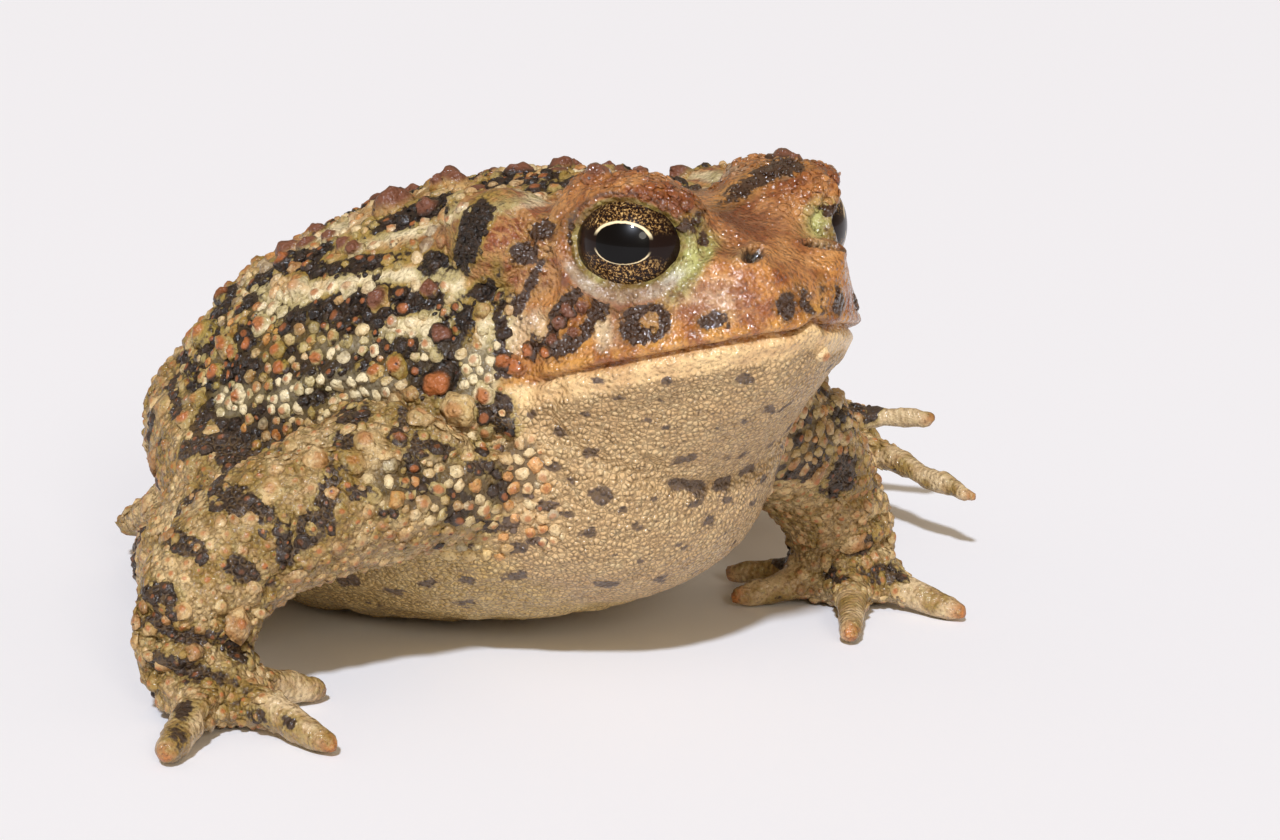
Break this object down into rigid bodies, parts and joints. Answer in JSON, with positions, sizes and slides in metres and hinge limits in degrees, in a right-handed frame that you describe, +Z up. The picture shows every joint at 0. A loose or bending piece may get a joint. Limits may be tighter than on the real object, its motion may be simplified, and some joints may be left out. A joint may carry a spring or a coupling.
{
  "type": "american toad",
  "caption": "Life-size still model of a plump warty toad crouching on its belly and spread hands, head raised, one hind foot splayed to the side.",
  "frame": {"origin": "on the floor, under the middle of the toad's bounding box", "axes": "-Y the way the toad faces, +X its left side, +Z up"},
  "size_m": [0.1132, 0.0738, 0.0436],
  "materials": {
    "skin_back": "moist warty skin",
    "skin_belly": "granular skin",
    "skin_limb": "warty skin",
    "digit": "ringed skin with horny tips",
    "eye": "wet and glossy"
  },
  "bodies": {
    "root": {"torso": "skin_back", "head": "skin_back", "lower_jaw": "skin_belly", "eye_left": "eye", "eye_right": "eye", "upper_arm_left": "skin_limb", "forearm_left": "skin_limb", "hand_left": "skin_limb", "thigh_left": "skin_limb", "shank_left": "skin_limb", "foot_left": "skin_limb", "finger_1_left": "digit", "finger_2_left": "digit", "finger_3_left": "digit", "finger_4_left": "digit", "upper_arm_right": "skin_limb", "forearm_right": "skin_limb", "hand_right": "skin_limb", "thigh_right": "skin_limb", "shank_right": "skin_limb", "foot_right": "skin_limb", "finger_1_right": "digit", "finger_2_right": "digit", "finger_3_right": "digit", "finger_4_right": "digit", "toe_3_left": "digit", "toe_4_left": "digit", "toe_5_left": "digit"}
  },
  "joints": []
}
